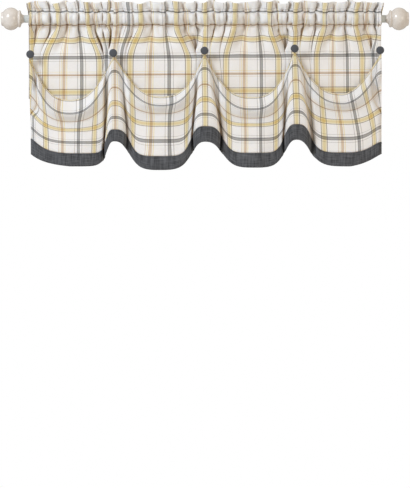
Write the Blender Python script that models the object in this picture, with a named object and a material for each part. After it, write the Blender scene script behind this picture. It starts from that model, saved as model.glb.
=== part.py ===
"""Window valance: a plaid cloth gathered on a round rod and tucked up to five buttons, so it hangs in swags.

Metres, +Z up. The origin is the middle of the rod's axis, X runs along the rod and -Y faces the room.
The cloth is worked out from its flat cut: u is the distance along the cut's width, t the distance down it
from the header's top fold, both in millimetres. Each row of the cloth is folded and keeps its own length.
"""
import bmesh
import bpy
import numpy as np
from math import cos, pi, radians, sin

MM = 0.001

# Cut and rod, in mm
CLOTH_WIDTH = 1530.0
CLOTH_THICKNESS = 1.5
BAND_THICKNESS = 1.8
SEAM_GAP = 2.6
ROD_RADIUS = 9.5
ROD_HALF_LENGTH = 451.5

# Pocket and header, t in mm (the back layer has the same distances with a minus sign)
HEADER_TOP_Z, HEADER_STITCH_Z, POCKET_STITCH_Z = 39.5, 16.0, -13.0
HEADER_STITCH_T, POCKET_STITCH_T = 26.0, 68.0
POCKET_BULGE = 18.5
LAYER_OFFSET, FOLD_T = 2.6, 4.0
HEADER_FLARE = 0.013
GATHER_DEPTH = 0.65

# Upper panel: its height at distances down the cloth, how much lower its left end hangs, where it has spread
# out from the gathers, and how deep its pleats stay behind the swags
PANEL_HANG = ((68.0, 90.0, 111.7, 154.5, 240.2, 340.0), (-13.0, -29.5, -47.0, -89.5, -176.5, -274.0))
PANEL_LOWER_LEFT = 8.0
SPREAD_T = (62.0, 160.0)
GATHERS_END_T = 112.0
PLEAT_DEPTH, HIDDEN_PLEAT_DEPTH = 0.75, 0.25
PLEATS_HIDE_T = (170.0, 230.0)

# Tuck and front layer, t and mm
TUCK_T_COLUMN, TUCK_T_BAY = 252.0, 314.0
FRONT_T, SEAM_T, HEM_T = 366.0, 572.8, 607.8
PANEL_Y, RISER_Y = -2.0, -13.0
TURN_RADIUS = 3.5
MAX_FOLD_ANGLE = 1.5
LEAST_STEP = 0.02

# Where lines of the cut hang: u, then x at the rod, on the panel, on the swag's upper edge and at the hem,
# and the folds from this line to the next: gathers in the header, pleats in the panel and creases in front
LINES = {
    #               u        rod     panel    crest    hem    gathers pleats creases
    "edge_left":  (0.0,    -440.5,  -440.0,  -439.0,  -434.5,   2,      2,     1),
    "bay1_left":  (136.5,  -368.0,  -400.0,  -403.0,  -396.0,   2,      0,     0),
    "bay1_right": (265.0,  -292.0,  -263.0,  -270.0,  -275.0,   3,      2,     1),
    "column2":    (436.3,  -222.0,  -229.0,  -227.0,  -225.0,   2,      2,     1),
    "bay2_left":  (522.0,  -160.0,  -188.0,  -182.0,  -180.0,   2,      0,     0),
    "bay2_right": (650.5,   -73.0,   -41.0,   -42.5,   -46.0,   2,      1,     1),
    "column3":    (779.0,     0.0,    -1.0,    -1.0,     0.0,   2,      2,     1),
    "bay3_left":  (907.5,    74.0,    52.0,    56.5,    61.0,   2,      0,     0),
    "bay3_right": (1036.0,  160.0,   184.0,   176.0,   177.0,   2,      1,     1),
    "column4":    (1164.5,  226.0,   223.5,   223.5,   227.5,   2,      2,     1),
    "bay4_left":  (1293.0,  296.0,   279.0,   289.0,   297.5,   2,      0,     0),
    "bay4_right": (1421.5,  378.0,   393.0,   394.0,   423.0,   2,      1,     1),
    "edge_right": (1530.0,  440.5,   440.0,   440.0,   440.0,   0,      0,     0),
}
LINE_U, ROD_X, PANEL_X, CREST_X, HEM_X, GATHERS, PLEATS, CREASES = np.array(list(LINES.values())).T
COLUMN_U = LINE_U[0::3]

# Levels of the front layer: t, the flutes' share in its shape, how steep and how wide they are, their flat
# top's share, the room behind for the creases beside them, the flat share of cloth before each crease, how
# far forward of the rod the flutes and bays are, and the drop below it at column 1, bay 1 ... column 5
LEVELS = {
    #         t      flute steep wide  top   room flat flute bay  drops
    "crest": (366.0, 0.00, 3.0, 0.50, 0.00, 5, 0.05, 20, 20, (94, 207, 90, 199, 85, 200, 80, 192, 84)),
    "grey":  (411.6, 0.10, 3.0, 0.55, 0.10, 18, 0.10, 32, 50, (143, 239, 131, 219, 124, 228, 116, 214, 134)),
    "tan":   (454.4, 0.40, 3.0, 0.65, 0.12, 20, 0.14, 42, 36, (190, 258, 172, 238, 164, 249, 153, 231, 178)),
    "gold":  (497.3, 0.75, 3.0, 0.80, 0.12, 26, 0.20, 50, 33, (232, 279, 213, 264, 203, 266, 195, 259, 230)),
    "grey2": (540.1, 1.00, 3.0, 0.92, 0.12, 60, 0.26, 54, 39, (272, 310, 248, 306, 240, 302, 234, 300, 270)),
    "seam":  (572.8, 1.00, 3.0, 1.00, 0.12, 90, 0.30, 55, 43, (300, 338, 279, 345, 271, 337, 266, 336, 309)),
    "hem":   (607.8, 1.00, 2.3, 1.00, 0.12, 90, 0.30, 54, 43, (338, 370, 308, 379, 309, 373, 304, 370, 338)),
}
LEVEL_T = np.array([row[0] for row in LEVELS.values()])
LEVEL_SHAPE = np.array([row[1:9] for row in LEVELS.values()], float)
LEVEL_DROP = np.array([row[9] for row in LEVELS.values()], float)

# The two sides of each bay from left to right: the share of the way from its column at which the hem has come
# half way down, how steep the flutes are there against the table's, and how square the swag's upper edge is
HALF_WAY = np.array([0.25, 0.20, 0.355, 0.33, 0.39, 0.295, 0.29, 0.36])
STEEPNESS = np.array([0.45, 1.2, 1.0, 1.0, 1.0, 1.0, 1.0, 0.5])
CREST_SQUARE = np.array([2.6, 2.4, 2.2, 2.8, 2.6, 2.8, 2.5, 1.9])
TOP_ROUNDING = 0.002
BAY_FLAT = 0.18

# Cloth at the two side edges that is turned back behind the front layer's lower half
RETURN_LEFT_TURN, RETURN_RIGHT_TURN = (-115.0, -70.0), (1430.0, 1470.0)
RETURN_FROM_T, RETURN_FULL_T = 400.0, 510.0

# The cloth's mesh: columns of vertices, rows along each stretch, the share of the plaid cloth's faces that
# are kept, and the steps in which a row's folds are worked out
COLUMNS = 193
POCKET_ROWS, PANEL_ROWS, RISER_ROWS, FRONT_ROWS, BAND_ROWS, TURN_ROWS = 8, 20, 9, 24, 3, 5
HEADER_ROWS = (-18.0, -10.0, -FOLD_T, -FOLD_T / 2, 0.0, FOLD_T / 2, FOLD_T, 10.0, 18.0)
PANEL_FACES_KEPT = 0.14
FOLD_STEPS = 240

# Buttons: x and z of each, in mm, and the section of one as (radius, distance from its back)
BUTTONS = {
    "1": (-435.5, -90.0), "2": (-228.8, -86.8), "3": (-1.3, -81.0), "4": (223.5, -75.8), "5": (436.5, -80.0),
}
BUTTON_BACK_Y = -24.0
BUTTON_SECTION = (
    (0.0, 0.0), (7.0, 0.0), (9.2, 1.0), (10.0, 2.6), (9.5, 4.2), (7.6, 5.8), (4.4, 6.8), (0.0, 7.2),
)

# Finial's section as (radius, distance out from the rod's end): neck, collar, ball and cap
FINIAL_GAP = 0.3
FINIAL_SECTION = (
    (0.0, 0.0), (9.75, 0.0), (9.9, 2.5), (11.0, 5.0), (13.6, 7.2), (18.5, 8.6),
    (20.6, 9.2), (21.5, 10.6), (21.5, 13.0), (20.4, 14.2), (19.2, 14.8), (19.2, 15.8),
    (20.6, 16.6), (23.8, 20.0), (26.9, 25.0), (28.3, 30.0), (28.5, 34.0), (27.7, 39.0),
    (25.6, 44.0), (22.6, 48.5), (19.2, 51.6), (17.6, 52.6), (17.4, 55.2), (16.4, 57.0),
    (14.0, 57.8), (0.0, 57.8),
)
ROUND_SIDES = 32
SHARP_ANGLE = radians(40)

# Materials: base colour as linear red, green and blue, roughness and metallic
MATERIALS = {
    "plaid_cloth":    ((0.84, 0.78, 0.69), 0.90, 0.0),
    "charcoal_band":  ((0.063, 0.066, 0.071), 0.90, 0.0),
    "button_cloth":   ((0.060, 0.064, 0.072), 0.80, 0.0),
    "rod_enamel":     ((0.56, 0.58, 0.56), 0.35, 0.0),
    "finial_lacquer": ((0.72, 0.66, 0.59), 0.22, 0.0),
}


def ease(value, low, high):
    """0 below low, 1 above high and smooth between."""
    s = np.clip((value - low) / (high - low), 0.0, 1.0)
    return s * s * (3.0 - 2.0 * s)


def through(t, knots, values):
    """A smooth curve through the rows of a table, at t."""
    slope = np.gradient(values, knots, axis=0)
    k = int(np.clip(np.searchsorted(knots, t) - 1, 0, len(knots) - 2))
    h = knots[k + 1] - knots[k]
    s = np.clip((t - knots[k]) / h, 0.0, 1.0)
    start = (1 + 2 * s) * (1 - s) ** 2 * values[k] + s * (1 - s) ** 2 * h * slope[k]
    return start + s * s * (3 - 2 * s) * values[k + 1] - s * s * (1 - s) * h * slope[k + 1]


def stations(lines):
    """The columns' places along a row, with the middle of each bay between them."""
    return np.insert((lines[1::3] + lines[2::3]) / 2, range(len(COLUMN_U)), lines[0::3])


def station_shares(place, at):
    """Which stretch between stations each place is in, and its share of the way from the stretch's column."""
    k = np.clip(np.searchsorted(at, place, side="right") - 1, 0, len(at) - 2)
    part = np.clip((place - at[k]) / (at[k + 1] - at[k]), 0.0, 1.0)
    return k, np.where(k % 2 == 0, part, 1.0 - part)


def swag(place, at, heights, flute, steep, wide, top):
    """A line high at the columns and low in the bays: a deep U mixed with a wave fluted at its columns."""
    k, share = station_shares(place, at)
    column = np.where(k % 2 == 0, heights[k], heights[k + 1])
    bay = np.where(k % 2 == 0, heights[k + 1], heights[k])
    half_way, power = HALF_WAY[k] * wide, STEEPNESS[k] * steep
    near = share / (1.0 + (2.0 * half_way - 1.0) / (1.0 - half_way) * (1.0 - share))
    wave = near**power / (near**power + (1.0 - near) ** power)
    past_top = share - top + np.sqrt((share - top) ** 2 + TOP_ROUNDING)
    past_top /= 1.0 - top + np.sqrt((1.0 - top) ** 2 + TOP_ROUNDING)
    deep_u = 1.0 - (1.0 - past_top) ** CREST_SQUARE[k]
    return column + (bay - column) * ((1.0 - flute) * deep_u + flute * wave)


def even(u, at_column, in_bay):
    """A value that goes smoothly from one at every column to another in the middle of every bay."""
    _, share = station_shares(u, stations(LINE_U))
    return at_column + (in_bay - at_column) * ease(share, 0.0, 1.0)


def valleys(part, count, flat_start, flat_end):
    """The turn, from 1 to -1, of cloth that runs flat, then goes back and comes forward, count times."""
    wave = np.sin(2 * pi * count * np.clip((part - flat_start) / (1.0 - flat_start - flat_end), 0.0, 1.0))
    return np.sign(wave) * np.sqrt(np.abs(wave))


def turns(k, near, part, gather, pleat, crease, flat, returned):
    """How far each point of the cloth from line k to the next turns, as a share of the row's fold angle."""
    last = len(LINE_U) - 2
    at_edge = returned if k in (0, last) else 0.0
    back_edge = 0.0
    if k == 0:
        back_edge = -ease(-near, *RETURN_LEFT_TURN)
    if k == last:
        back_edge = ease(near, *RETURN_RIGHT_TURN)
    flats = (flat, BAY_FLAT) if k % 3 == 0 else (BAY_FLAT, flat)
    return (
        gather * np.sin(2 * pi * GATHERS[k] * part)
        + pleat * np.sin(2 * pi * PLEATS[k] * part)
        + crease * (1.0 - at_edge) * valleys(part, CREASES[k], *flats)
        + crease * at_edge * back_edge
    )


def folded(u, height, line_x, gather=0.0, pleat=0.0, crease=0.0, flat=0.0, returned=0.0):
    """x, fold depth and z along one row of cloth that passes the lines at line_x, with its z as height(u, x).

    The row turns left and right in folds, as steeply as it takes to bring each line to its place.
    """
    x, depth = np.zeros_like(u), np.zeros_like(u)
    last = len(LINE_U) - 2
    for k in range(last + 1):
        inside = np.flatnonzero((u >= LINE_U[k] - MM) & (u <= LINE_U[k + 1] + MM))
        near = np.linspace(LINE_U[k], LINE_U[k + 1], FOLD_STEPS)
        part = (near - LINE_U[k]) / (LINE_U[k + 1] - LINE_U[k])
        folds = turns(k, near, part, gather, pleat, crease, flat, returned)
        width = line_x[k + 1] - line_x[k]
        across = part
        for _ in range(4):
            rise = np.gradient(height(near, line_x[k] + width * across))
            step = np.sqrt(np.maximum(np.gradient(near) ** 2 - rise**2, LEAST_STEP * np.gradient(near) ** 2))
            low, high = 0.0, MAX_FOLD_ANGLE
            for _ in range(20):
                angle = (low + high) / 2
                if np.sum(np.cos(angle * folds) * step) > width:
                    low = angle
                else:
                    high = angle
            run = np.cumsum(np.cos(angle * folds) * step)
            across = (across + (run - run[0]) / (run[-1] - run[0])) / 2
        back = np.cumsum(np.sin(angle * folds) * step)
        back -= back[0] if k else back[-1]
        if 0 < k < last:
            back -= back[-1] * part
        x[inside] = line_x[k] + width * np.interp(u[inside], near, across)
        depth[inside] = np.interp(u[inside], near, back)
    return x, depth, height(u, x)


def shifted(x, y, distance):
    """A row moved forward by a distance square to itself."""
    along = np.stack([np.gradient(x), np.gradient(y)])
    along /= np.linalg.norm(along, axis=0)
    return x + along[1] * distance, y - along[0] * distance


def pocket_row(u, t):
    """A row of the header or the rod pocket: in front of the rod where t is positive, else behind it."""
    header = 1.0 - ease(abs(t), 0.0, HEADER_STITCH_T)
    x, depth, z = folded(u, lambda u, x: u * 0.0, ROD_X * (1 + HEADER_FLARE * header), gather=1.0)
    depth = GATHER_DEPTH * (depth - depth.mean())
    run = (abs(t) - HEADER_STITCH_T) / (POCKET_STITCH_T - HEADER_STITCH_T)
    fold = pi / 2 * np.clip(t / FOLD_T, -1.0, 1.0)
    if run < 0:
        up = min(1.0, (HEADER_STITCH_T - abs(t)) / (HEADER_STITCH_T - FOLD_T))
        z += HEADER_STITCH_Z + (HEADER_TOP_Z - HEADER_STITCH_Z) * up + LAYER_OFFSET * cos(fold)
        bulge = 0.0
    else:
        z += POCKET_STITCH_Z + (HEADER_STITCH_Z - POCKET_STITCH_Z) * (1 + cos(pi * run)) / 2
        bulge = POCKET_BULGE * sin(pi * run) ** 0.8
    x, y = shifted(x, depth - np.sign(t) * bulge, LAYER_OFFSET * sin(fold))
    return x, y, z


def tuck_t(u):
    """Where along the cloth the tuck's lower fold lies."""
    return even(u, TUCK_T_COLUMN, TUCK_T_BAY)


def panel_z(u, t):
    """Height of the upper panel, which hangs straight below the pocket and a little lower on the left."""
    lower = PANEL_LOWER_LEFT * (1 - u / CLOTH_WIDTH) * ease(t, POCKET_STITCH_T, GATHERS_END_T)
    return np.interp(t, *PANEL_HANG) - lower


def panel_row(u, share, turn=0.0):
    """A row of the upper panel, share of the way from the pocket to the tuck's lower fold, or in its turn."""
    t = POCKET_STITCH_T + (tuck_t(u) - POCKET_STITCH_T) * share
    mean_t = float(t.mean())
    spread = float(ease(mean_t, *SPREAD_T))
    x, depth, z = folded(
        u, lambda u, x: panel_z(u, POCKET_STITCH_T + (tuck_t(u) - POCKET_STITCH_T) * share),
        ROD_X + (PANEL_X - ROD_X) * spread, gather=1.0 - spread, pleat=spread,
    )
    gathered = 1.0 - float(ease(mean_t, POCKET_STITCH_T, GATHERS_END_T))
    deep = PLEAT_DEPTH + (GATHER_DEPTH - PLEAT_DEPTH) * gathered
    deep += (HIDDEN_PLEAT_DEPTH - PLEAT_DEPTH) * float(ease(mean_t, *PLEATS_HIDE_T))
    y = deep * (depth - (1.0 - spread) * depth.mean()) + PANEL_Y * spread
    x, y = shifted(x, y, LAYER_OFFSET * (1.0 - spread))
    return x, y - TURN_RADIUS * (1.0 - cos(turn)), z - TURN_RADIUS * sin(turn)


def riser_row(u, share, turn=0.0):
    """A row of the hidden layer that rises from the tuck to the swag's upper edge, or of the turn over it."""
    lines = PANEL_X + (CREST_X - PANEL_X) * share
    at = stations(lines)
    *shape, room, flat, _, _ = LEVEL_SHAPE[0]

    def height(u, x):
        return panel_z(u, tuck_t(u)) * (1.0 - share) - swag(x, at, LEVEL_DROP[0], *shape) * share

    x, depth, z = folded(u, height, lines, pleat=1.0 - share, crease=share, flat=flat)
    base = PANEL_Y - 2 * TURN_RADIUS
    y = base + (RISER_Y - base) * float(ease(share, 0.0, 0.6)) + room * np.tanh(depth / room)
    return x, y - TURN_RADIUS * (1.0 - cos(turn)), z + TURN_RADIUS * sin(turn)


def front_row(u, t):
    """A row of the front layer, from the swag's upper edge to the hem."""
    *shape, room, flat, flute, bay = through(t, LEVEL_T, LEVEL_SHAPE)
    drops = through(t, LEVEL_T, LEVEL_DROP)
    lines = CREST_X + (HEM_X - CREST_X) * float(ease(t, FRONT_T, SEAM_T))
    at = stations(lines)
    x, depth, z = folded(
        u, lambda u, x: -swag(x, at, drops, *shape), lines,
        crease=1.0, flat=flat, returned=float(ease(t, RETURN_FROM_T, RETURN_FULL_T)),
    )
    return x, room * np.tanh(depth / room) - even(u, flute, bay), z


def new_object(name, mesh, material, place=(0.0, 0.0, 0.0), turn=(0.0, 0.0, 0.0)):
    """An object on the rod's empty, with its place in mm."""
    obj = bpy.data.objects.new(name, mesh)
    obj.location = [part * MM for part in place]
    obj.rotation_euler = turn
    obj.parent = rod_centre
    bpy.context.scene.collection.objects.link(obj)
    if not mesh.materials:
        mesh.materials.append(materials[material])
    return obj


def finished(name, bm):
    """A mesh from bm, with smooth shading and sharp edges where it turns."""
    bmesh.ops.recalc_face_normals(bm, faces=bm.faces)
    mesh = bpy.data.meshes.new(name)
    bm.to_mesh(mesh)
    bm.free()
    mesh.shade_smooth()
    mesh.set_sharp_from_angle(angle=SHARP_ANGLE)
    return mesh


def sheet(name, rows, thickness, material):
    """A cloth solid from rows of points: a grid set to the points, with its thickness on both sides alike."""
    high, wide = len(rows), len(rows[0][0])
    bm = bmesh.new()
    bmesh.ops.create_grid(bm, x_segments=wide - 1, y_segments=high - 1, size=1.0)
    bm.verts.ensure_lookup_table()
    for vert in bm.verts:
        row, column = divmod(vert.index, wide)
        vert.co = [float(axis[column]) * MM for axis in rows[row]]
    obj = new_object(name, finished(name, bm), material)
    if name == "valance_panel":
        # The last row is the seam with the band, whose vertices stay as they are
        free = obj.vertex_groups.new(name="free")
        free.add(range((high - 1) * wide), 1.0, "REPLACE")
        fewer = obj.modifiers.new("fewer faces", "DECIMATE")
        fewer.ratio, fewer.vertex_group = PANEL_FACES_KEPT, free.name
    thick = obj.modifiers.new("thickness", "SOLIDIFY")
    thick.thickness, thick.offset = thickness * MM, 0.0
    return obj


def turned(name, section):
    """A mesh turned about Z from a section of (radius, height) points, both of whose ends are on the axis."""
    bm = bmesh.new()
    chain = [bm.verts.new((radius * MM, 0.0, height * MM)) for radius, height in section]
    edges = [bm.edges.new(pair) for pair in zip(chain, chain[1:])]
    bmesh.ops.spin(bm, geom=chain + edges, axis=(0, 0, 1), angle=2 * pi, steps=ROUND_SIDES, use_merge=True)
    bmesh.ops.remove_doubles(bm, verts=bm.verts, dist=MM * MM)
    return finished(name, bm)


for old in list(bpy.data.objects):
    bpy.data.objects.remove(old, do_unlink=True)

materials = {}
for name, (colour, roughness, metallic) in MATERIALS.items():
    made = materials[name] = bpy.data.materials.new(name)
    made.use_nodes = True
    shader = made.node_tree.nodes["Principled BSDF"]
    shader.inputs["Base Color"].default_value = (*colour, 1.0)
    shader.inputs["Roughness"].default_value = roughness
    shader.inputs["Metallic"].default_value = metallic

rod_centre = bpy.data.objects.new("rod_centre", None)
bpy.context.scene.collection.objects.link(rod_centre)

# The plaid cloth, from the pocket's back layer over the header, down to the tuck, up to the crest and down
u = np.linspace(0.0, CLOTH_WIDTH, COLUMNS)
rows = [pocket_row(u, t) for t in np.linspace(-POCKET_STITCH_T, -HEADER_STITCH_T, POCKET_ROWS)]
rows += [pocket_row(u, t) for t in HEADER_ROWS]
rows += [pocket_row(u, t) for t in np.linspace(HEADER_STITCH_T, POCKET_STITCH_T, POCKET_ROWS)]
rows += [panel_row(u, share) for share in np.linspace(0.0, 1.0, PANEL_ROWS)[1:]]
rows += [panel_row(u, 1.0, turn) for turn in np.linspace(0.0, pi, TURN_ROWS)[1:]]
rows += [riser_row(u, share) for share in np.linspace(0.0, 1.0, RISER_ROWS)[1:]]
rows += [riser_row(u, 1.0, turn) for turn in np.linspace(0.0, pi, TURN_ROWS)[1:]]
rows += [front_row(u, t) for t in np.linspace(FRONT_T, SEAM_T - SEAM_GAP, FRONT_ROWS)[1:]]
sheet("valance_panel", rows, CLOTH_THICKNESS, "plaid_cloth")

# The charcoal band along the lower edge
rows = [front_row(u, t) for t in np.linspace(SEAM_T, HEM_T, BAND_ROWS)]
sheet("hem_band", rows, BAND_THICKNESS, "charcoal_band")

# The buttons face the room, so their axis is turned from Z to -Y
button_mesh = turned("button", BUTTON_SECTION)
for number, (x, z) in BUTTONS.items():
    place = (x, BUTTON_BACK_Y, z)
    new_object("button_" + number, button_mesh, "button_cloth", place, (radians(90), 0.0, 0.0))

# The rod, turned from Z to X
bm = bmesh.new()
bmesh.ops.create_cone(
    bm, cap_ends=True, segments=ROUND_SIDES,
    radius1=ROD_RADIUS * MM, radius2=ROD_RADIUS * MM, depth=2 * ROD_HALF_LENGTH * MM,
)
new_object("rod", finished("rod", bm), "rod_enamel", turn=(0.0, radians(90), 0.0))

# A finial on each end of the rod, pointing outwards
finial_mesh = turned("finial", FINIAL_SECTION)
for side, name in ((1, "finial_right"), (-1, "finial_left")):
    place = (side * (ROD_HALF_LENGTH + FINIAL_GAP), 0.0, 0.0)
    new_object(name, finial_mesh, "finial_lacquer", place, (0.0, side * radians(90), 0.0))
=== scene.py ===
from math import cos, pi, radians, sin

import bmesh
import bpy
import numpy as np
from mathutils import Matrix, Vector, noise


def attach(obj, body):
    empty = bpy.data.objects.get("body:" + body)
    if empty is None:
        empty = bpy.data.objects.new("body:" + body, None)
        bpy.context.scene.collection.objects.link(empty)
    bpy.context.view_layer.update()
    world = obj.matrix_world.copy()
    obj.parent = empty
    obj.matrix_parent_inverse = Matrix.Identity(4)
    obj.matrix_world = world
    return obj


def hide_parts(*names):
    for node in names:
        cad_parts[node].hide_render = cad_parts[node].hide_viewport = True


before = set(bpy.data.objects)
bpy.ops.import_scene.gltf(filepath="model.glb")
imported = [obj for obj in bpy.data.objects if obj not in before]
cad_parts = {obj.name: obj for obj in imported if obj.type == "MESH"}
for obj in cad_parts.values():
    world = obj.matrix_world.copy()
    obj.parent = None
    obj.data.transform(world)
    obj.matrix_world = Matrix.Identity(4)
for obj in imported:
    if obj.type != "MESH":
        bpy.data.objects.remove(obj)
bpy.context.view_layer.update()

# Camera, light and floor
# The valance is seen square on from far away, with its rod at the picture's top and clear space below it.
# A soft light stands high on the left, a weaker one on the right, and pale light comes from all round, most
# of it from above, as in a catalogue studio.
MM = 0.001
VIEW_SPAN = 1.22
VIEW_CENTRE_Z = -0.5628
VIEW_DISTANCE = 8.0
FLOOR_Z = -1.42
FLOOR_SIZE = 3.0
FILL_FROM_BELOW, FILL_FROM_ABOVE = 0.26, 0.74


def linear(hex_colour):
    """An sRGB hex colour as linear red, green, blue and alpha."""
    parts = [int(hex_colour[k : k + 2], 16) / 255 for k in (0, 2, 4)]
    return tuple(c / 12.92 if c <= 0.04045 else ((c + 0.055) / 1.055) ** 2.4 for c in parts) + (1.0,)


def add(tree, kind, sockets=(), **settings):
    """Adds a node to a tree. sockets maps an input's name or number to a value or an output."""
    made = tree.nodes.new(kind)
    for key, value in settings.items():
        setattr(made, key, value)
    for key, value in dict(sockets).items():
        if isinstance(value, bpy.types.NodeSocket):
            tree.links.new(value, made.inputs[key])
        else:
            made.inputs[key].default_value = value
    return made


def material(name):
    """An empty node material and its tree."""
    made = bpy.data.materials.new(name)
    made.use_nodes = True
    made.node_tree.nodes.clear()
    return made, made.node_tree


def finished(tree, surface):
    """Ends a material's tree with the shader that makes its surface."""
    add(tree, "ShaderNodeOutputMaterial", {"Surface": surface.outputs[0]})


def soft_light(name, place, aim, size, power, colour):
    """A round area light at a place, turned to its aim."""
    lamp = bpy.data.lights.new(name, "AREA")
    lamp.shape, lamp.size, lamp.energy, lamp.color = "DISK", size, power, linear(colour)[:3]
    holder = bpy.data.objects.new(name, lamp)
    turn = (Vector(aim) - Vector(place)).to_track_quat("-Z", "Y").to_matrix().to_4x4()
    holder.matrix_world = Matrix.Translation(place) @ turn
    bpy.context.scene.collection.objects.link(holder)


lens = bpy.data.cameras.new("camera")
lens.lens = lens.sensor_width * VIEW_DISTANCE / VIEW_SPAN
lens.clip_end = 50.0
camera = bpy.data.objects.new("camera", lens)
camera.location = (0.0, -VIEW_DISTANCE, VIEW_CENTRE_Z)
camera.rotation_euler = (radians(90), 0.0, 0.0)
bpy.context.scene.collection.objects.link(camera)
bpy.context.scene.camera = camera
bpy.context.scene.view_settings.view_transform = "Standard"

sky = bpy.data.worlds.new("studio")
bpy.context.scene.world = sky
sky.use_nodes = True
sky.node_tree.nodes.clear()
direction = add(sky.node_tree, "ShaderNodeTexCoord")
upwards = add(sky.node_tree, "ShaderNodeSeparateXYZ", {0: direction.outputs["Generated"]})
bright = add(sky.node_tree, "ShaderNodeMapRange", {
    0: upwards.outputs["Z"], 1: -1.0, 2: 1.0, 3: FILL_FROM_BELOW, 4: FILL_FROM_ABOVE,
})
fill = add(sky.node_tree, "ShaderNodeBackground", {"Color": linear("F2E8DC"), "Strength": bright.outputs[0]})
paper = add(sky.node_tree, "ShaderNodeBackground", {"Color": linear("FFFFFF"), "Strength": 1.0})
ray = add(sky.node_tree, "ShaderNodeLightPath")
seen = add(sky.node_tree, "ShaderNodeMixShader", {
    0: ray.outputs["Is Camera Ray"], 1: fill.outputs[0], 2: paper.outputs[0],
})
add(sky.node_tree, "ShaderNodeOutputWorld", {"Surface": seen.outputs[0]})
soft_light("key", (-2.4, -2.3, 1.5), (0.0, 0.0, -0.2), 1.1, 74.0, "EAF3FF")
soft_light("side", (2.6, -2.4, 0.3), (0.0, 0.0, -0.2), 1.6, 18.0, "FFF0E0")

bm = bmesh.new()
at_floor = Matrix.Translation((0.0, 0.0, FLOOR_Z))
bmesh.ops.create_grid(bm, x_segments=1, y_segments=1, size=FLOOR_SIZE, matrix=at_floor)
floor_mesh = bpy.data.meshes.new("floor")
bm.to_mesh(floor_mesh)
bm.free()
floor = bpy.data.objects.new("floor", floor_mesh)
bpy.context.scene.collection.objects.link(floor)
pale, tree = material("pale studio floor")
finished(tree, add(tree, "ShaderNodeBsdfPrincipled", {"Base Color": linear("E9E7E4"), "Roughness": 0.8}))
floor_mesh.materials.append(pale)

# Plaid cloth
# One cut of light cotton-blend plain weave, yarn-dyed in a yellow, grey and tan check. Its top is turned over
# into a ruffled header and a pocket for the rod. A cross tuck lifts it to five buttons, so it hangs in four
# swags, with a rounded flute of cloth under each button.

# Sizes in mm: u runs along the cut, and t runs down it from the header's top fold
CLOTH_WIDTH, CLOTH_LENGTH = 1530.0, 641.0
CLOTH_THICKNESS = 0.9
HEADER_TOP_Z, HEADER_STITCH_Z, POCKET_STITCH_Z = 41.0, 16.0, -13.0
HEADER_STITCH_T, POCKET_STITCH_T = 26.0, 68.0
POCKET_BULGE = 17.0
LAYER_OFFSET, FOLD_T = 1.6, 2.4
HEADER_FLARE = 0.013
LOW_END_U, LOW_END_DROP = 60.0, 5.0
HEADER_PUCKER, POCKET_PUCKER = 9.0, 12.0
GATHER_DEPTH, TIGHT_GATHER_DEPTH = 0.75, 0.2
PANEL_HANG = ((68.0, 90.0, 111.7, 154.5, 240.2, 340.0), (-13.0, -29.5, -47.0, -89.5, -176.5, -274.0))
PANEL_LOWER_LEFT = 8.0
SPREAD_T = (62.0, 160.0)
FINE_GATHERS_END_T = 102.0
PLEAT_DEPTH, PLEAT_DEPTH_BEHIND = 0.1, 0.5
PLEATS_HIDE_T = (170.0, 230.0)
TUCK_T_COLUMN, TUCK_T_BAY = 252.0, 314.0
FRONT_T, SEAM_T, HEM_T = 366.0, 572.8, 607.8
CREST_T_COLUMN, CREST_T_BAY = 364.0, 376.0
CATCH_WIDTH = 45.0
PANEL_Y, RISER_Y = -2.0, -13.0
TURN_RADIUS = 3.5
MAX_FOLD_ANGLE, MAX_PLEAT_ANGLE = 1.58, 1.9
CREASE_SHARPNESS = 0.5
CREASE_SQUARENESS = 0.3
PLEAT_FACES = 1.1
DIP_T, DIP_DEPTH = (430.0, 560.0), 16.0
FOLD_SLOPE = 0.35
FOLD_DRIFT = 45.0
FOLD_STEPS, LEAST_STEP = 300, 0.02
TOP_ROUNDING = 0.002
BAY_FLAT = 0.18
RETURN_LEFT_TURN, RETURN_RIGHT_TURN = (-115.0, -70.0), (1430.0, 1470.0)
RETURN_FROM_T, RETURN_FULL_T = 400.0, 510.0
BROAD_WRINKLE, SMALL_WRINKLE = 3.2, 0.9

# Where lines of the cut hang: u, then x at the rod, on the panel, on the swag's upper edge and at the hem,
# and the folds from this line to the next: gathers in the header, pleats in the panel and creases in front
LINES = {
    #               u        rod     panel    crest    hem    gathers pleats creases
    "edge_left":  (0.0,    -440.5,  -440.0,  -439.0,  -434.5,   2,      2,     1),
    "bay1_left":  (136.5,  -368.0,  -400.0,  -403.0,  -396.0,   2,      0,     0),
    "bay1_right": (265.0,  -292.0,  -263.0,  -270.0,  -275.0,   3,      2,     1),
    "column2":    (436.3,  -222.0,  -229.0,  -227.0,  -225.0,   2,      2,     1),
    "bay2_left":  (522.0,  -160.0,  -188.0,  -182.0,  -180.0,   2,      0,     0),
    "bay2_right": (650.5,   -73.0,   -41.0,   -42.5,   -46.0,   2,      1,     1),
    "column3":    (779.0,     0.0,    -1.0,    -1.0,     0.0,   2,      2,     1),
    "bay3_left":  (907.5,    74.0,    52.0,    56.5,    61.0,   2,      0,     0),
    "bay3_right": (1036.0,  160.0,   184.0,   176.0,   177.0,   2,      1,     1),
    "column4":    (1164.5,  226.0,   223.5,   223.5,   227.5,   2,      2,     1),
    "bay4_left":  (1293.0,  296.0,   279.0,   289.0,   297.5,   2,      0,     0),
    "bay4_right": (1421.5,  378.0,   393.0,   394.0,   423.0,   2,      1,     1),
    "edge_right": (1530.0,  440.5,   440.0,   440.0,   440.0,   0,      0,     0),
}
LINE_U, ROD_X, PANEL_X, CREST_X, HEM_X, GATHERS, PLEATS, CREASES = np.array(list(LINES.values())).T
COLUMN_U = LINE_U[0::3]

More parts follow.
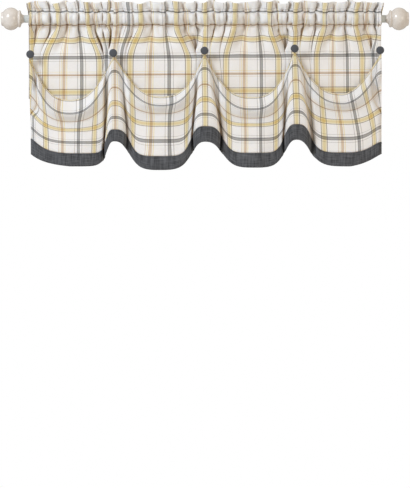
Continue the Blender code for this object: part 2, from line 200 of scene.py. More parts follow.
# Levels of the front layer: t, the flutes' share in its shape, how steep and how wide they are, their flat
# top's share, the room behind for the creases beside them, the flat share of cloth before each crease, how
# far forward of the rod the flutes and bays are, and the drop below it at column 1, bay 1 ... column 5
LEVELS = {
    #         t      flute steep wide  top   room flat flute bay  drops
    "crest": (366.0, 0.00, 3.0, 0.50, 0.00, 5, 0.05, 20, 20, (94, 207, 90, 199, 85, 200, 80, 192, 84)),
    "grey":  (411.6, 0.10, 3.0, 0.55, 0.10, 18, 0.10, 32, 50, (143, 239, 131, 219, 124, 228, 116, 214, 134)),
    "tan":   (454.4, 0.40, 3.0, 0.65, 0.12, 20, 0.14, 42, 36, (190, 258, 172, 238, 164, 249, 153, 231, 178)),
    "gold":  (497.3, 0.75, 3.0, 0.80, 0.12, 26, 0.20, 50, 33, (232, 279, 213, 264, 203, 266, 195, 259, 230)),
    "grey2": (540.1, 1.00, 3.0, 0.92, 0.12, 60, 0.26, 54, 39, (272, 310, 248, 306, 240, 302, 234, 300, 270)),
    "seam":  (572.8, 1.00, 3.0, 1.00, 0.12, 90, 0.30, 55, 43, (300, 338, 279, 345, 271, 337, 266, 336, 309)),
    "hem":   (607.8, 1.00, 2.3, 1.00, 0.12, 90, 0.30, 54, 43, (338, 370, 308, 379, 309, 373, 304, 370, 338)),
}
LEVEL_T = np.array([row[0] for row in LEVELS.values()])
LEVEL_SHAPE = np.array([row[1:9] for row in LEVELS.values()], float)
LEVEL_DROP = np.array([row[9] for row in LEVELS.values()], float)

# The two sides of each bay from left to right: the share of the way from its column at which the hem has come
# half way down, how steep the flutes are there against the table's, and how square the swag's upper edge is
HALF_WAY = np.array([0.25, 0.20, 0.355, 0.33, 0.39, 0.295, 0.29, 0.36])
STEEPNESS = np.array([0.45, 1.2, 1.0, 1.0, 1.0, 1.0, 1.0, 0.5])
CREST_SQUARE = np.array([2.6, 2.4, 2.2, 2.8, 2.6, 2.8, 2.5, 1.9])


def ease(value, low, high):
    """0 below low, 1 above high and smooth between."""
    s = np.clip((value - low) / (high - low), 0.0, 1.0)
    return s * s * (3.0 - 2.0 * s)


def through(t, knots, values):
    """A smooth curve through the rows of a table, at t."""
    slope = np.gradient(values, knots, axis=0)
    k = int(np.clip(np.searchsorted(knots, t) - 1, 0, len(knots) - 2))
    h = knots[k + 1] - knots[k]
    s = np.clip((t - knots[k]) / h, 0.0, 1.0)
    start = (1 + 2 * s) * (1 - s) ** 2 * values[k] + s * (1 - s) ** 2 * h * slope[k]
    return start + s * s * (3 - 2 * s) * values[k + 1] - s * s * (1 - s) * h * slope[k + 1]


def stations(lines):
    """The columns' places along a row, with the middle of each bay between them."""
    return np.insert((lines[1::3] + lines[2::3]) / 2, range(len(COLUMN_U)), lines[0::3])


def swag(place, at, heights, flute, steep, wide, top):
    """A line high at the columns and low in the bays: a deep U mixed with a wave fluted at its columns."""
    k = np.clip(np.searchsorted(at, place, side="right") - 1, 0, len(at) - 2)
    part = np.clip((place - at[k]) / (at[k + 1] - at[k]), 0.0, 1.0)
    from_column = np.where(k % 2 == 0, part, 1.0 - part)
    column = np.where(k % 2 == 0, heights[k], heights[k + 1])
    bay = np.where(k % 2 == 0, heights[k + 1], heights[k])
    half_way, sharp = HALF_WAY[k] * wide, STEEPNESS[k] * steep
    near = from_column / (1.0 + (2.0 * half_way - 1.0) / (1.0 - half_way) * (1.0 - from_column))
    wave = near**sharp / (near**sharp + (1.0 - near) ** sharp)
    past_top = from_column - top + np.sqrt((from_column - top) ** 2 + TOP_ROUNDING)
    past_top /= 1.0 - top + np.sqrt((1.0 - top) ** 2 + TOP_ROUNDING)
    deep_u = 1.0 - (1.0 - past_top) ** CREST_SQUARE[k]
    return column + (bay - column) * ((1.0 - flute) * deep_u + flute * wave)


def even(u, at_column, in_bay, dip=0.0):
    """A value that goes smoothly from one at every column to another in every bay's middle, with a dip."""
    at = stations(LINE_U)
    k = np.clip(np.searchsorted(at, u, side="right") - 1, 0, len(at) - 2)
    part = np.clip((u - at[k]) / (at[k + 1] - at[k]), 0.0, 1.0)
    share = np.where(k % 2 == 0, part, 1.0 - part)
    return at_column + (in_bay - at_column) * ease(share, 0.0, 1.0) + dip * np.sin(pi * share) ** 2


def valleys(part, count, flat_start, flat_end):
    """The turn, from 1 to -1, of cloth that runs flat, then goes back and comes forward, count times."""
    wave = np.sin(2 * pi * count * np.clip((part - flat_start) / (1.0 - flat_start - flat_end), 0.0, 1.0))
    return np.sign(wave) * np.abs(wave) ** CREASE_SQUARENESS


def pleated(part, count, flat):
    """The turn of cloth in pleats: flat faces, with a narrow fold back and forward between them."""
    cycle = (part * count) % 1.0
    wave = np.sin(2 * pi * np.clip((cycle - flat / 2) / (1.0 - flat), 0.0, 1.0))
    return np.sign(wave) * np.abs(wave) ** CREASE_SQUARENESS


def ridged(angle):
    """The turn of cloth in round ridges with narrow creases between them."""
    return np.sin(angle - CREASE_SHARPNESS * np.sin(angle))


def folded(
    u, height, line_x, gather=0.0, fine=0.0, pleat=0.0, crease=0.0, flat=0.0, returned=0.0, drift=0.0,
    steepest=MAX_FOLD_ANGLE,
):
    """x, fold depth and z along one row of cloth that passes the lines at line_x, with its z as height(u, x).

    The row turns left and right in folds, as steeply as it takes to bring each line to its place.
    """
    x, depth = np.zeros_like(u), np.zeros_like(u)
    last = len(LINE_U) - 2
    for k in range(last + 1):
        inside = np.flatnonzero((u >= LINE_U[k] - MM) & (u <= LINE_U[k + 1] + MM))
        near = np.linspace(LINE_U[k], LINE_U[k + 1], FOLD_STEPS)
        part = (near - LINE_U[k]) / (LINE_U[k + 1] - LINE_U[k])
        at_edge = returned if k in (0, last) else 0.0
        back_edge = 0.0
        if k == 0:
            back_edge = -ease(-near, *RETURN_LEFT_TURN)
        if k == last:
            back_edge = ease(near, *RETURN_RIGHT_TURN)
        flats = (flat, BAY_FLAT) if k % 3 == 0 else (BAY_FLAT, flat)
        width = line_x[k + 1] - line_x[k]
        faces = PLEAT_FACES * min(1.0, width / (LINE_U[k + 1] - LINE_U[k]))
        # Two waves whose lengths never fit together keep the gathers and pleats from being alike
        uneven = 0.9 * np.sin(near / 37.0 + drift) + 0.7 * np.sin(near / 21.0 + 1.3 - 1.7 * drift)
        folds = (
            gather * ridged(2 * pi * GATHERS[k] * part + 0.5 * uneven)
            + fine * ridged(2 * pi * (2 * GATHERS[k] + 1) * part + uneven)
            + pleat * pleated(part + 0.02 * uneven, PLEATS[k], faces)
            + crease * (1.0 - at_edge) * valleys(part, CREASES[k], *flats)
            + crease * at_edge * back_edge
        )
        across = part
        for _ in range(4):
            rise = np.gradient(height(near, line_x[k] + width * across))
            step = np.sqrt(np.maximum(np.gradient(near) ** 2 - rise**2, LEAST_STEP * np.gradient(near) ** 2))
            low, high = 0.0, steepest
            for _ in range(20):
                angle = (low + high) / 2
                if np.sum(np.cos(angle * folds) * step) > width:
                    low = angle
                else:
                    high = angle
            run = np.cumsum(np.cos(angle * folds) * step)
            across = (across + (run - run[0]) / (run[-1] - run[0])) / 2
        back = np.cumsum(np.sin(angle * folds) * step)
        back -= back[0] if k else back[-1]
        if 0 < k < last:
            back -= back[-1] * part
        x[inside] = line_x[k] + width * np.interp(u[inside], near, across)
        depth[inside] = np.interp(u[inside], near, back)
    return x, depth, height(u, x)


def shifted(x, y, distance):
    """A row moved forward by a distance square to itself."""
    along = np.stack([np.gradient(x), np.gradient(y)])
    along /= np.linalg.norm(along, axis=0)
    return x + along[1] * distance, y - along[0] * distance


def ruffled(u):
    """How the header's top edge stands higher and lower along it: two uneven waves, and a low left end."""
    low_end = LOW_END_DROP * (1.0 - ease(u, 0.0, LOW_END_U))
    return 2.4 * np.sin(u / 31.0 + 0.4) + 1.5 * np.sin(u / 13.0 + 2.0) - low_end


def puckered(u):
    """How a row of stitches pulls the cloth up and down along it: one wave that drifts and a finer one."""
    return 1.2 * np.sin(u / 9.0 + np.sin(u / 23.0)) + 0.7 * np.sin(u / 4.1)


def pocket_row(u, t):
    """A row of the header or the rod pocket: in front of the rod where t is positive, else behind it."""
    header = 1.0 - ease(abs(t), 0.0, HEADER_STITCH_T)
    pinch = ease(abs(t), 4.0, HEADER_STITCH_T)
    at_stitch = np.exp(-(((abs(t) - HEADER_STITCH_T) / HEADER_PUCKER) ** 2))
    at_stitch = at_stitch + np.exp(-(((abs(t) - POCKET_STITCH_T) / POCKET_PUCKER) ** 2))
    x, depth, level = folded(
        u, lambda u, x: u * 0.0, ROD_X * (1 + HEADER_FLARE * header),
        gather=1.0 - 0.4 * pinch, fine=0.2 + 0.3 * pinch + 0.5 * at_stitch, drift=abs(t) / FOLD_DRIFT,
    )
    depth = (GATHER_DEPTH + TIGHT_GATHER_DEPTH * pinch) * (depth - depth.mean())
    run = (abs(t) - HEADER_STITCH_T) / (POCKET_STITCH_T - HEADER_STITCH_T)
    fold = pi / 2 * np.clip(t / FOLD_T, -1.0, 1.0)
    if run < 0:
        share = min(1.0, (HEADER_STITCH_T - abs(t)) / (HEADER_STITCH_T - FOLD_T))
        z = HEADER_STITCH_Z + (HEADER_TOP_Z - HEADER_STITCH_Z) * share + LAYER_OFFSET * cos(fold)
        z = z + header * ruffled(u)
        bulge = 0.0
    else:
        z = level + POCKET_STITCH_Z + (HEADER_STITCH_Z - POCKET_STITCH_Z) * (1 + cos(pi * run)) / 2
        bulge = POCKET_BULGE * sin(pi * run) ** 0.8
    z = z + at_stitch * puckered(u)
    x, y = shifted(x, depth - np.sign(t) * bulge, LAYER_OFFSET * sin(fold))
    return x, y, z + FOLD_SLOPE * depth, u * 0.0 + t


def tuck_t(u):
    """Where along the cloth the tuck's lower fold lies."""
    return even(u, TUCK_T_COLUMN, TUCK_T_BAY)


def panel_z(u, t):
    """Height of the upper panel, which hangs straight below the pocket and a little lower on the left."""
    lower = PANEL_LOWER_LEFT * (1 - u / CLOTH_WIDTH) * ease(t, POCKET_STITCH_T, PANEL_HANG[0][2])
    return np.interp(t, *PANEL_HANG) - lower


def panel_row(u, share, turn=0.0):
    """A row of the upper panel, share of the way from the pocket to the tuck's lower fold, or in its turn."""
    t = POCKET_STITCH_T + (tuck_t(u) - POCKET_STITCH_T) * share
    mean_t = float(t.mean())
    spread = float(ease(mean_t, *SPREAD_T))
    fade = 1.0 - float(ease(mean_t, POCKET_STITCH_T, FINE_GATHERS_END_T))
    hidden = ease(mean_t, *PLEATS_HIDE_T)
    x, depth, z = folded(
        u, lambda u, x: panel_z(u, POCKET_STITCH_T + (tuck_t(u) - POCKET_STITCH_T) * share),
        ROD_X + (PANEL_X - ROD_X) * spread, gather=(1.0 - spread) * (1.0 - 0.4 * fade), fine=fade,
        pleat=spread, drift=mean_t / FOLD_DRIFT, steepest=MAX_PLEAT_ANGLE,
    )
    deep = GATHER_DEPTH + TIGHT_GATHER_DEPTH * fade + PLEAT_DEPTH * spread - PLEAT_DEPTH_BEHIND * hidden
    depth = deep * (depth - (1.0 - spread) * depth.mean())
    z = z + FOLD_SLOPE * depth * (1.0 - hidden)
    x, y = shifted(x, depth + PANEL_Y * spread, LAYER_OFFSET * (1.0 - spread))
    return x, y - TURN_RADIUS * (1.0 - cos(turn)), z - TURN_RADIUS * sin(turn), t + TURN_RADIUS * turn


def crest_t(u):
    """Where along the cloth the swag's upper edge lies: a little higher up the cut at the buttons."""
    from_column = np.abs(u[:, None] - COLUMN_U).min(axis=1)
    return CREST_T_BAY + (CREST_T_COLUMN - CREST_T_BAY) * np.exp(-((from_column / CATCH_WIDTH) ** 2))


def riser_row(u, share, turn=0.0):
    """A row of the hidden layer that rises from the tuck to the swag's upper edge, or of the turn over it."""
    lines = PANEL_X + (CREST_X - PANEL_X) * share
    at = stations(lines)
    *shape, room, flat, _, _ = LEVEL_SHAPE[0]

    def height(u, x):
        return panel_z(u, tuck_t(u)) * (1.0 - share) - swag(x, at, LEVEL_DROP[0], *shape) * share

    x, depth, z = folded(u, height, lines, pleat=1.0 - share, crease=share, flat=flat)
    base = PANEL_Y - 2 * TURN_RADIUS
    y = base + (RISER_Y - base) * float(ease(share, 0.0, 0.6)) + room * np.tanh(depth / room)
    t_foot = tuck_t(u) + pi * TURN_RADIUS
    t = t_foot + (crest_t(u) - pi * TURN_RADIUS - t_foot) * share + TURN_RADIUS * turn
    return x, y - TURN_RADIUS * (1.0 - cos(turn)), z + TURN_RADIUS * sin(turn), t


def front_row(u, t):
    """A row of the front layer, from the swag's upper edge to the hem."""
    *shape, room, flat, flute, bay = (float(value) for value in through(t, LEVEL_T, LEVEL_SHAPE))
    drops = through(t, LEVEL_T, LEVEL_DROP)
    lines = CREST_X + (HEM_X - CREST_X) * float(ease(t, FRONT_T, SEAM_T))
    at = stations(lines)
    x, depth, z = folded(
        u, lambda u, x: -swag(x, at, drops, *shape), lines,
        crease=1.0, flat=flat, returned=float(ease(t, RETURN_FROM_T, RETURN_FULL_T)),
    )
    slid = (crest_t(u) - FRONT_T) * (1.0 - ease(t, FRONT_T, LEVEL_T[1]))
    y = even(u, -flute, -bay, DIP_DEPTH * float(ease(t, *DIP_T)))
    return x, y + room * np.tanh(depth / room), z, t + slid


def wrinkle(place):
    """Small unevenness of soft cloth, in mm, so that no part of it is quite flat."""
    broad = noise.noise(Vector((place[0] / 45.0, place[1] / 40.0, place[2] / 60.0)))
    small = noise.noise(Vector((place[0] / 13.0 + 7.0, place[1] / 20.0, place[2] / 17.0)))
    return BROAD_WRINKLE * broad + SMALL_WRINKLE * small


def cloth(name, u, rows, forward=0.0):
    """A sheet from rows of points, with the cut's own u and t, in metres, as its UV map."""
    high, wide = len(rows), len(u)
    bm = bmesh.new()
    bmesh.ops.create_grid(bm, x_segments=wide - 1, y_segments=high - 1, size=1.0)
    uv = bm.loops.layers.uv.new("cut")
    bm.verts.ensure_lookup_table()
    for vert in bm.verts:
        row, column = divmod(vert.index, wide)
        x, y, z, _ = (float(axis[column]) for axis in rows[row])
        vert.co = Vector((x, y - forward + wrinkle((x, y, z)), z)) * MM
    for face in bm.faces:
        face.smooth = True
        for loop in face.loops:
            row, column = divmod(loop.vert.index, wide)
            loop[uv].uv = (u[column] * MM, float(rows[row][3][column]) * MM)
    bmesh.ops.recalc_face_normals(bm, faces=bm.faces)
    mesh = bpy.data.meshes.new(name)
    bm.to_mesh(mesh)
    bm.free()
    piece = bpy.data.objects.new(name, mesh)
    bpy.context.scene.collection.objects.link(piece)
    return piece


def thicken(piece, thickness):
    """Gives a sheet its thickness, on both sides alike."""
    solid = piece.modifiers.new("thickness", "SOLIDIFY")
    solid.thickness, solid.offset = thickness * MM, 0.0


# The sheet's rows: from the pocket's back over the header, down to the tuck, up to the crest and down again
COLUMNS = 401
BACK_ROWS, POCKET_ROWS, PANEL_ROWS, TUCK_ROWS, RISER_ROWS, CREST_ROWS, FRONT_ROWS = 10, 13, 34, 5, 8, 7, 38
HEADER_ROWS = (-22.0, -16.0, -9.0, -2.4, -1.2, 0.0, 1.2, 2.4, 7.0, 12.0, 17.0, 22.0)
UNDER_BAND = 1.0
u = np.linspace(0.0, CLOTH_WIDTH, COLUMNS)
rows = [pocket_row(u, t) for t in np.linspace(-POCKET_STITCH_T, -HEADER_STITCH_T, BACK_ROWS)]
rows += [pocket_row(u, t) for t in HEADER_ROWS]
rows += [pocket_row(u, t) for t in np.linspace(HEADER_STITCH_T, POCKET_STITCH_T, POCKET_ROWS)]
rows += [panel_row(u, share) for share in np.linspace(0.0, 1.0, PANEL_ROWS)[1:]]
rows += [panel_row(u, 1.0, turn) for turn in np.linspace(0.0, pi, TUCK_ROWS)[1:]]
rows += [riser_row(u, share) for share in np.linspace(0.0, 1.0, RISER_ROWS)[1:]]
rows += [riser_row(u, 1.0, turn) for turn in np.linspace(0.0, pi, CREST_ROWS)[1:]]
rows += [front_row(u, t) for t in np.linspace(FRONT_T, SEAM_T + UNDER_BAND, FRONT_ROWS)[1:]]
plaid_cloth = cloth("plaid_cloth", u, rows)
thicken(plaid_cloth, CLOTH_THICKNESS)
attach(plaid_cloth, "root")
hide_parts("valance_panel")

# The check's stripes, each as widths in mm and colours: a yellow band with brown edge lines, a grey stripe
# between fine lines and a tan stripe between yellow lines, which is narrower across the cloth than along it
REPEAT = 128.5
YELLOW_U, YELLOW_T = 8.0, 111.7
WEAVE_PITCH = 1.2
GROUND = "FFFFFF"
YELLOW_BAND = ((1.6, "8E8079"), (3.0, "F7EFD8"), (7.0, "EDDEB2"), (3.0, "F7EFD8"), (1.6, "8E8079"))
GREY_STRIPE = (
    (1.3, "CFCDCC"), (5.0, GROUND), (1.6, "8F9193"), (4.6, "B0B2B3"), (1.6, "8F9193"),
    (4.4, GROUND), (1.3, "CFCDCC"),
)
TAN_WARP = (
    (1.2, "E6DACB"), (2.4, GROUND), (1.7, "F5E9C4"), (2.0, GROUND), (7.2, "DCCAB6"),
    (2.0, GROUND), (1.7, "F5E9C4"),
)
TAN_WEFT = ((1.4, "F5E9C4"), (3.4, GROUND), (2.2, "EFE6DB"), (3.6, "C9B5A2"), (3.4, GROUND), (1.2, "E6DACB"))


def stripes(tree, along, order):
    """One direction's yarns: stripes in the order given, their middles a third of the repeat apart."""
    phase = add(tree, "ShaderNodeMath", {0: along, 1: 1 / (REPEAT * MM)}, operation="MULTIPLY")
    phase = add(tree, "ShaderNodeMath", {0: phase.outputs[0], 1: 0.5 / 3}, operation="ADD")
    phase = add(tree, "ShaderNodeMath", {0: phase.outputs[0]}, operation="FRACT")
    ramp = add(tree, "ShaderNodeValToRGB", {0: phase.outputs[0]})
    ramp.color_ramp.interpolation = "CONSTANT"
    stops = [(0.0, GROUND)]
    for k, stripe in enumerate(order):
        at = (k + 0.5) * REPEAT / 3 - sum(width for width, _ in stripe) / 2
        for width, colour in stripe:
            stops.append((at / REPEAT, colour))
            at += width
        stops.append((at / REPEAT, GROUND))
    ramp.color_ramp.elements[0].color = linear(GROUND)
    ramp.color_ramp.elements.remove(ramp.color_ramp.elements[1])
    for place, colour in stops[1:]:
        ramp.color_ramp.elements.new(place).color = linear(colour)
    return ramp.outputs["Color"]


# Yarn-dyed cotton blend, plain weave: matt, with a little fuzz that catches light along the folds, slubs a
# few millimetres long, and light that soaks into the cloth. The real threads are 0.5 mm apart, too fine to
# show here, so the weave is drawn at 1.2 mm.
plaid, tree = material("yarn-dyed plain weave cotton")
cut = add(tree, "ShaderNodeUVMap", uv_map="cut")
apart = add(tree, "ShaderNodeSeparateXYZ", {0: cut.outputs[0]})
from_first = add(tree, "ShaderNodeMath", {0: apart.outputs["X"], 1: -YELLOW_U * MM}, operation="ADD")
from_gold = add(tree, "ShaderNodeMath", {0: apart.outputs["Y"], 1: -YELLOW_T * MM}, operation="ADD")
warp = stripes(tree, from_first.outputs[0], (YELLOW_BAND, TAN_WARP, GREY_STRIPE))
weft = stripes(tree, from_gold.outputs[0], (YELLOW_BAND, GREY_STRIPE, TAN_WEFT))
check = add(tree, "ShaderNodeMix", {0: 1.0, 6: warp, 7: weft}, data_type="RGBA", blend_type="MULTIPLY")
slub = add(tree, "ShaderNodeTexNoise", {"Vector": cut.outputs[0], "Scale": 260.0, "Detail": 3.0})
tone = add(tree, "ShaderNodeMapRange", {0: slub.outputs[0], 1: 0.3, 2: 0.7, 3: 0.96, 4: 1.0})
cream = add(
    tree, "ShaderNodeMix", {0: 1.0, 6: check.outputs[2], 7: linear("F8F7F5")},
    data_type="RGBA", blend_type="MULTIPLY",
)
toned = add(
    tree, "ShaderNodeMix", {0: 1.0, 6: cream.outputs[2], 7: tone.outputs[0]},
    data_type="RGBA", blend_type="MULTIPLY",
)
# Painted shade: where ambient occlusion finds a narrow crease, the cloth's colour is multiplied towards a
# warm brown, standing in for the shade deep in the folds
open_air = add(tree, "ShaderNodeAmbientOcclusion", {"Distance": 8.0 * MM}, samples=8)
painted_crease_shade = add(tree, "ShaderNodeMapRange", {0: open_air.outputs["AO"], 1: 0.15, 2: 0.7, 3: 1.0, 4: 0.0})
crease_shaded_colour = add(
    tree, "ShaderNodeMix", {0: painted_crease_shade.outputs[0], 6: toned.outputs[2], 7: linear("D4C0AD")},
    data_type="RGBA", blend_type="MULTIPLY",
)
threads = []
for axis in ("X", "Y"):
    pace = 2 * pi / (WEAVE_PITCH * MM)
    turn = add(tree, "ShaderNodeMath", {0: apart.outputs[axis], 1: pace}, operation="MULTIPLY")
    threads.append(add(tree, "ShaderNodeMath", {0: turn.outputs[0]}, operation="SINE"))
over, under = (thread.outputs[0] for thread in threads)
weave = add(tree, "ShaderNodeMath", {0: over, 1: under}, operation="MULTIPLY")
raised = add(tree, "ShaderNodeBump", {"Height": weave.outputs[0], "Strength": 0.25, "Distance": 0.2 * MM})
# The base colour carries the painted crease shade
finished(tree, add(tree, "ShaderNodeBsdfPrincipled", {
    "Base Color": crease_shaded_colour.outputs[2], "Normal": raised.outputs[0], "Roughness": 0.88, "Sheen Weight": 0.15,
    "Subsurface Weight": 0.3, "Subsurface Radius": (1.0, 0.8, 0.6), "Subsurface Scale": 4.0 * MM,
}))
plaid_cloth.data.materials.append(plaid)

# Charcoal band
# A straight strip of slubbed charcoal cloth, doubled and sewn over the plaid's lower edge, so it is a little
# thicker and stiffer than the plaid and follows the hem's wave.
BAND_THICKNESS = 1.8
BAND_FORWARD = 0.9
BAND_OVERLAP = 0.6
BAND_ROWS = 9
rows = [front_row(u, t) for t in np.linspace(SEAM_T - BAND_OVERLAP, HEM_T, BAND_ROWS)]
band = cloth("charcoal_band", u, rows, BAND_FORWARD)
thicken(band, BAND_THICKNESS)
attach(band, "root")
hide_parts("hem_band")

# Piece-dyed cotton and linen, plain weave: almost matt, with paler slubs up to 40 mm long along its threads
charcoal, tree = material("slubbed charcoal cotton")
cut = add(tree, "ShaderNodeUVMap", uv_map="cut")
along = add(tree, "ShaderNodeMapping", {"Vector": cut.outputs[0], "Scale": (30.0, 500.0, 1.0)})
upright = add(tree, "ShaderNodeMapping", {"Vector": cut.outputs[0], "Scale": (230.0, 25.0, 1.0)})
streaks = [
    add(tree, "ShaderNodeTexNoise", {"Vector": way.outputs[0], "Scale": 1.0, "Detail": 2.0})
    for way in (along, upright)
]
both = add(tree, "ShaderNodeMath", {0: streaks[0].outputs[0], 1: streaks[1].outputs[0]}, operation="ADD")
spread = add(tree, "ShaderNodeMapRange", {0: both.outputs[0], 1: 0.7, 2: 1.3})
shade = add(tree, "ShaderNodeValToRGB", {0: spread.outputs[0]})
shade.color_ramp.elements[0].color = linear("2E3034")
shade.color_ramp.elements[1].color = linear("66696E")
raised = add(tree, "ShaderNodeBump", {"Height": both.outputs[0], "Strength": 0.4, "Distance": 0.3 * MM})
finished(tree, add(tree, "ShaderNodeBsdfPrincipled", {
    "Base Color": shade.outputs[0], "Normal": raised.outputs[0], "Roughness": 0.9, "Sheen Weight": 0.1,
}))
band.data.materials.append(charcoal)

# Stitching
# Lockstitch in ecru thread closes the header and the pocket, and charcoal thread holds the band on. Each
# stitch is a short round length of thread that lies on the cloth, one on each 3 mm of the seam.
STITCH_PITCH, STITCH_LENGTH, THREAD_RADIUS, THREAD_SIDES = 3.0, 2.3, 0.3, 6
LIFT_ON_PLAID, LIFT_ON_BAND = 0.6, BAND_FORWARD + BAND_THICKNESS / 2 + 0.15
BAND_STITCH_T = SEAM_T + 2.5


def seam(name, row, lift, thread):
    """Stitches along a row of the cloth, lifted square to it by a distance."""
    x, y, z, _ = row
    y = y + np.array([wrinkle(place) for place in zip(x, y, z)])
    x, y = shifted(x, y, lift)
    bm = bmesh.new()
    for at in np.arange(STITCH_PITCH, CLOTH_WIDTH - STITCH_PITCH, STITCH_PITCH):
        start = Vector([np.interp(at, u, axis) for axis in (x, y, z)]) * MM
        end = Vector([np.interp(at + STITCH_LENGTH, u, axis) for axis in (x, y, z)]) * MM
        turn = (end - start).to_track_quat("Z", "Y").to_matrix().to_4x4()
        bmesh.ops.create_cone(
            bm, cap_ends=True, segments=THREAD_SIDES, radius1=THREAD_RADIUS * MM, radius2=THREAD_RADIUS * MM,
            depth=(end - start).length, matrix=Matrix.Translation((start + end) / 2) @ turn,
        )
    for face in bm.faces:
        face.smooth = len(face.verts) == 4
    mesh = bpy.data.meshes.new(name)
    bm.to_mesh(mesh)
    bm.free()
    mesh.materials.append(thread)
    stitches = bpy.data.objects.new(name, mesh)
    bpy.context.scene.collection.objects.link(stitches)
    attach(stitches, "root")
    return stitches


def spun_thread(name, dark, light):
    """Spun polyester thread: a little sheen, and two tones from its twist and fuzz."""
    made, tree = material(name)
    spot = add(tree, "ShaderNodeTexCoord")
    twist = add(tree, "ShaderNodeTexNoise", {"Vector": spot.outputs["Object"], "Scale": 2500.0})
    shade = add(tree, "ShaderNodeValToRGB", {0: twist.outputs[0]})
    shade.color_ramp.elements[0].color = linear(dark)
    shade.color_ramp.elements[1].color = linear(light)
    finished(tree, add(tree, "ShaderNodeBsdfPrincipled", {"Base Color": shade.outputs[0], "Roughness": 0.7}))
    return made


ecru = spun_thread("ecru sewing thread", "CFC6B8", "EFEAE0")
grey = spun_thread("charcoal sewing thread", "2C2E31", "55585C")
for name, t in (("header_stitches", HEADER_STITCH_T), ("pocket_stitches", POCKET_STITCH_T)):
    seam(name, pocket_row(u, t), LIFT_ON_PLAID, ecru)
seam("band_stitches", front_row(u, BAND_STITCH_T), LIFT_ON_BAND, grey)

# Buttons
# Five domed shells covered in the band's charcoal cloth. Each is sewn through a peak of the swags' upper edge
# and holds the tuck up there.
BUTTONS = {
    "1": (-435.5, -90.0), "2": (-228.8, -86.8), "3": (-1.3, -81.0), "4": (223.5, -75.8), "5": (436.5, -80.0),
}
BUTTON_BACK_Y = -24.0
BUTTON_SECTION = (
    (0.0, 0.0), (7.0, 0.0), (8.6, 0.5), (9.6, 1.6), (10.0, 2.9), (9.8, 3.9),
    (9.0, 5.0), (7.6, 5.9), (5.6, 6.6), (3.0, 7.1), (0.0, 7.2),
)
ROUND_SIDES = 64


def turned(name, section, place, turn, surface):
    """A smooth solid turned about its own Z axis from (radius, height) points, with its place in its mesh."""
    bm = bmesh.new()
    chain = [bm.verts.new((radius * MM, 0.0, height * MM)) for radius, height in section]
    edges = [bm.edges.new(pair) for pair in zip(chain, chain[1:])]
    bmesh.ops.spin(bm, geom=chain + edges, axis=(0, 0, 1), angle=2 * pi, steps=ROUND_SIDES, use_merge=True)
    bmesh.ops.remove_doubles(bm, verts=bm.verts, dist=MM * MM)
    bmesh.ops.recalc_face_normals(bm, faces=bm.faces)
    for face in bm.faces:
        face.smooth = True
    bmesh.ops.transform(bm, verts=bm.verts, matrix=Matrix.Translation(Vector(place) * MM) @ turn)
    mesh = bpy.data.meshes.new(name)
    bm.to_mesh(mesh)
    bm.free()
    mesh.materials.append(surface)
    piece = bpy.data.objects.new(name, mesh)
    bpy.context.scene.collection.objects.link(piece)
    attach(piece, "root")
    return piece


facing_room = Matrix.Rotation(radians(90), 4, "X")
# The same cloth stretched over the shell: matt, with a fine fuzz of two greys and a soft light on its dome
covering, tree = material("charcoal cloth stretched on a button")
spot = add(tree, "ShaderNodeTexCoord")
fuzz = add(tree, "ShaderNodeTexNoise", {"Vector": spot.outputs["Object"], "Scale": 1500.0, "Detail": 2.0})
shade = add(tree, "ShaderNodeValToRGB", {0: fuzz.outputs[0]})
shade.color_ramp.elements[0].color = linear("3D4045")
shade.color_ramp.elements[1].color = linear("5A5E66")
raised = add(tree, "ShaderNodeBump", {"Height": fuzz.outputs[0], "Strength": 0.4, "Distance": 0.2 * MM})
finished(tree, add(tree, "ShaderNodeBsdfPrincipled", {
    "Base Color": shade.outputs[0], "Normal": raised.outputs[0], "Roughness": 0.8, "Sheen Weight": 0.15,
}))
for number, (x, z) in BUTTONS.items():
    button = turned("covered_button_" + number, BUTTON_SECTION, (x, BUTTON_BACK_Y, z), facing_room, covering)
    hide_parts("button_" + number)

# Rod
# A plain round pole of drawn steel tube, enamelled light grey. It goes through the cloth's pocket, and only a
# short length shows at each end.
ROD_RADIUS = 9.5
ROD_HALF_LENGTH = 451.5
along_rod = Matrix.Rotation(radians(90), 4, "Y")
# Satin enamel, sprayed: an even, light cool grey whose gloss is broken up by a faint orange peel of 2.5 mm
enamel, tree = material("satin enamelled steel")
spot = add(tree, "ShaderNodeTexCoord")
peel = add(tree, "ShaderNodeTexNoise", {"Vector": spot.outputs["Object"], "Scale": 400.0, "Detail": 2.0})
gloss = add(tree, "ShaderNodeMapRange", {0: peel.outputs[0], 1: 0.3, 2: 0.7, 3: 0.30, 4: 0.42})
raised = add(tree, "ShaderNodeBump", {"Height": peel.outputs[0], "Strength": 0.1, "Distance": 0.1 * MM})
finished(tree, add(tree, "ShaderNodeBsdfPrincipled", {
    "Base Color": linear("D3D8D5"), "Roughness": gloss.outputs[0], "Normal": raised.outputs[0],
    "Coat Weight": 0.2,
}))
rod_section = (
    (0.0, -ROD_HALF_LENGTH), (ROD_RADIUS, -ROD_HALF_LENGTH),
    (ROD_RADIUS, ROD_HALF_LENGTH), (0.0, ROD_HALF_LENGTH),
)
rod = turned("pole", rod_section, (0.0, 0.0, 0.0), along_rod, enamel)
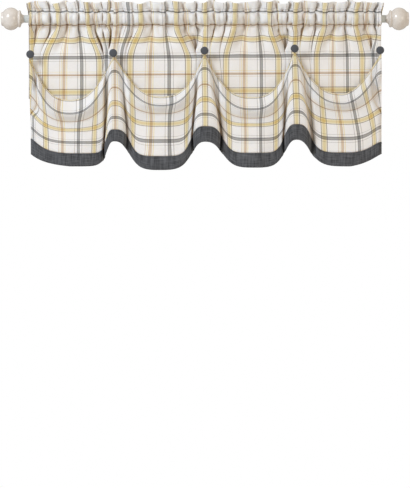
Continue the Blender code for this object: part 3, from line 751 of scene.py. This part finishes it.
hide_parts("rod")

# Finials
# A moulded knob on each end of the rod, lacquered off-white: a flared neck against the rod's end, a collar,
# a round ball and a flat cap.
FINIAL_GAP = 0.3
FINIAL_SECTION = (
    (0.0, 0.0), (9.75, 0.0), (9.9, 2.5), (11.0, 5.0), (13.6, 7.2), (18.5, 8.6),
    (20.6, 9.2), (21.5, 10.6), (21.5, 13.0), (20.4, 14.2), (19.2, 14.8), (19.2, 15.8),
    (20.6, 16.6), (23.8, 20.0), (26.9, 25.0), (28.3, 30.0), (28.5, 34.0), (27.7, 39.0),
    (25.6, 44.0), (22.6, 48.5), (19.2, 51.6), (17.6, 52.6), (17.4, 55.2), (16.4, 57.0),
    (14.0, 57.8), (0.0, 57.8),
)
# Lacquer over moulded resin: a clear top coat with sharp highlights over a body that is softly mottled
lacquer, tree = material("glossy off-white lacquer")
spot = add(tree, "ShaderNodeTexCoord")
mottle = add(tree, "ShaderNodeTexNoise", {"Vector": spot.outputs["Object"], "Scale": 60.0, "Detail": 3.0})
shade = add(tree, "ShaderNodeValToRGB", {0: mottle.outputs[0]})
shade.color_ramp.elements[0].position, shade.color_ramp.elements[1].position = 0.35, 0.65
shade.color_ramp.elements[0].color = linear("DDD6CE")
shade.color_ramp.elements[1].color = linear("E8E3DC")
gloss = add(tree, "ShaderNodeMapRange", {0: mottle.outputs[0], 1: 0.3, 2: 0.7, 3: 0.20, 4: 0.30})
finished(tree, add(tree, "ShaderNodeBsdfPrincipled", {
    "Base Color": shade.outputs[0], "Roughness": gloss.outputs[0], "Coat Weight": 0.6, "Coat Roughness": 0.06,
}))
for side, name in ((1, "right"), (-1, "left")):
    place = (side * (ROD_HALF_LENGTH + FINIAL_GAP), 0.0, 0.0)
    outwards = Matrix.Rotation(side * radians(90), 4, "Y")
    finial = turned("knob_" + name, FINIAL_SECTION, place, outwards, lacquer)
    smoother = finial.modifiers.new("rounder", "SUBSURF")
    smoother.levels = smoother.render_levels = 1
    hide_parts("finial_" + name)
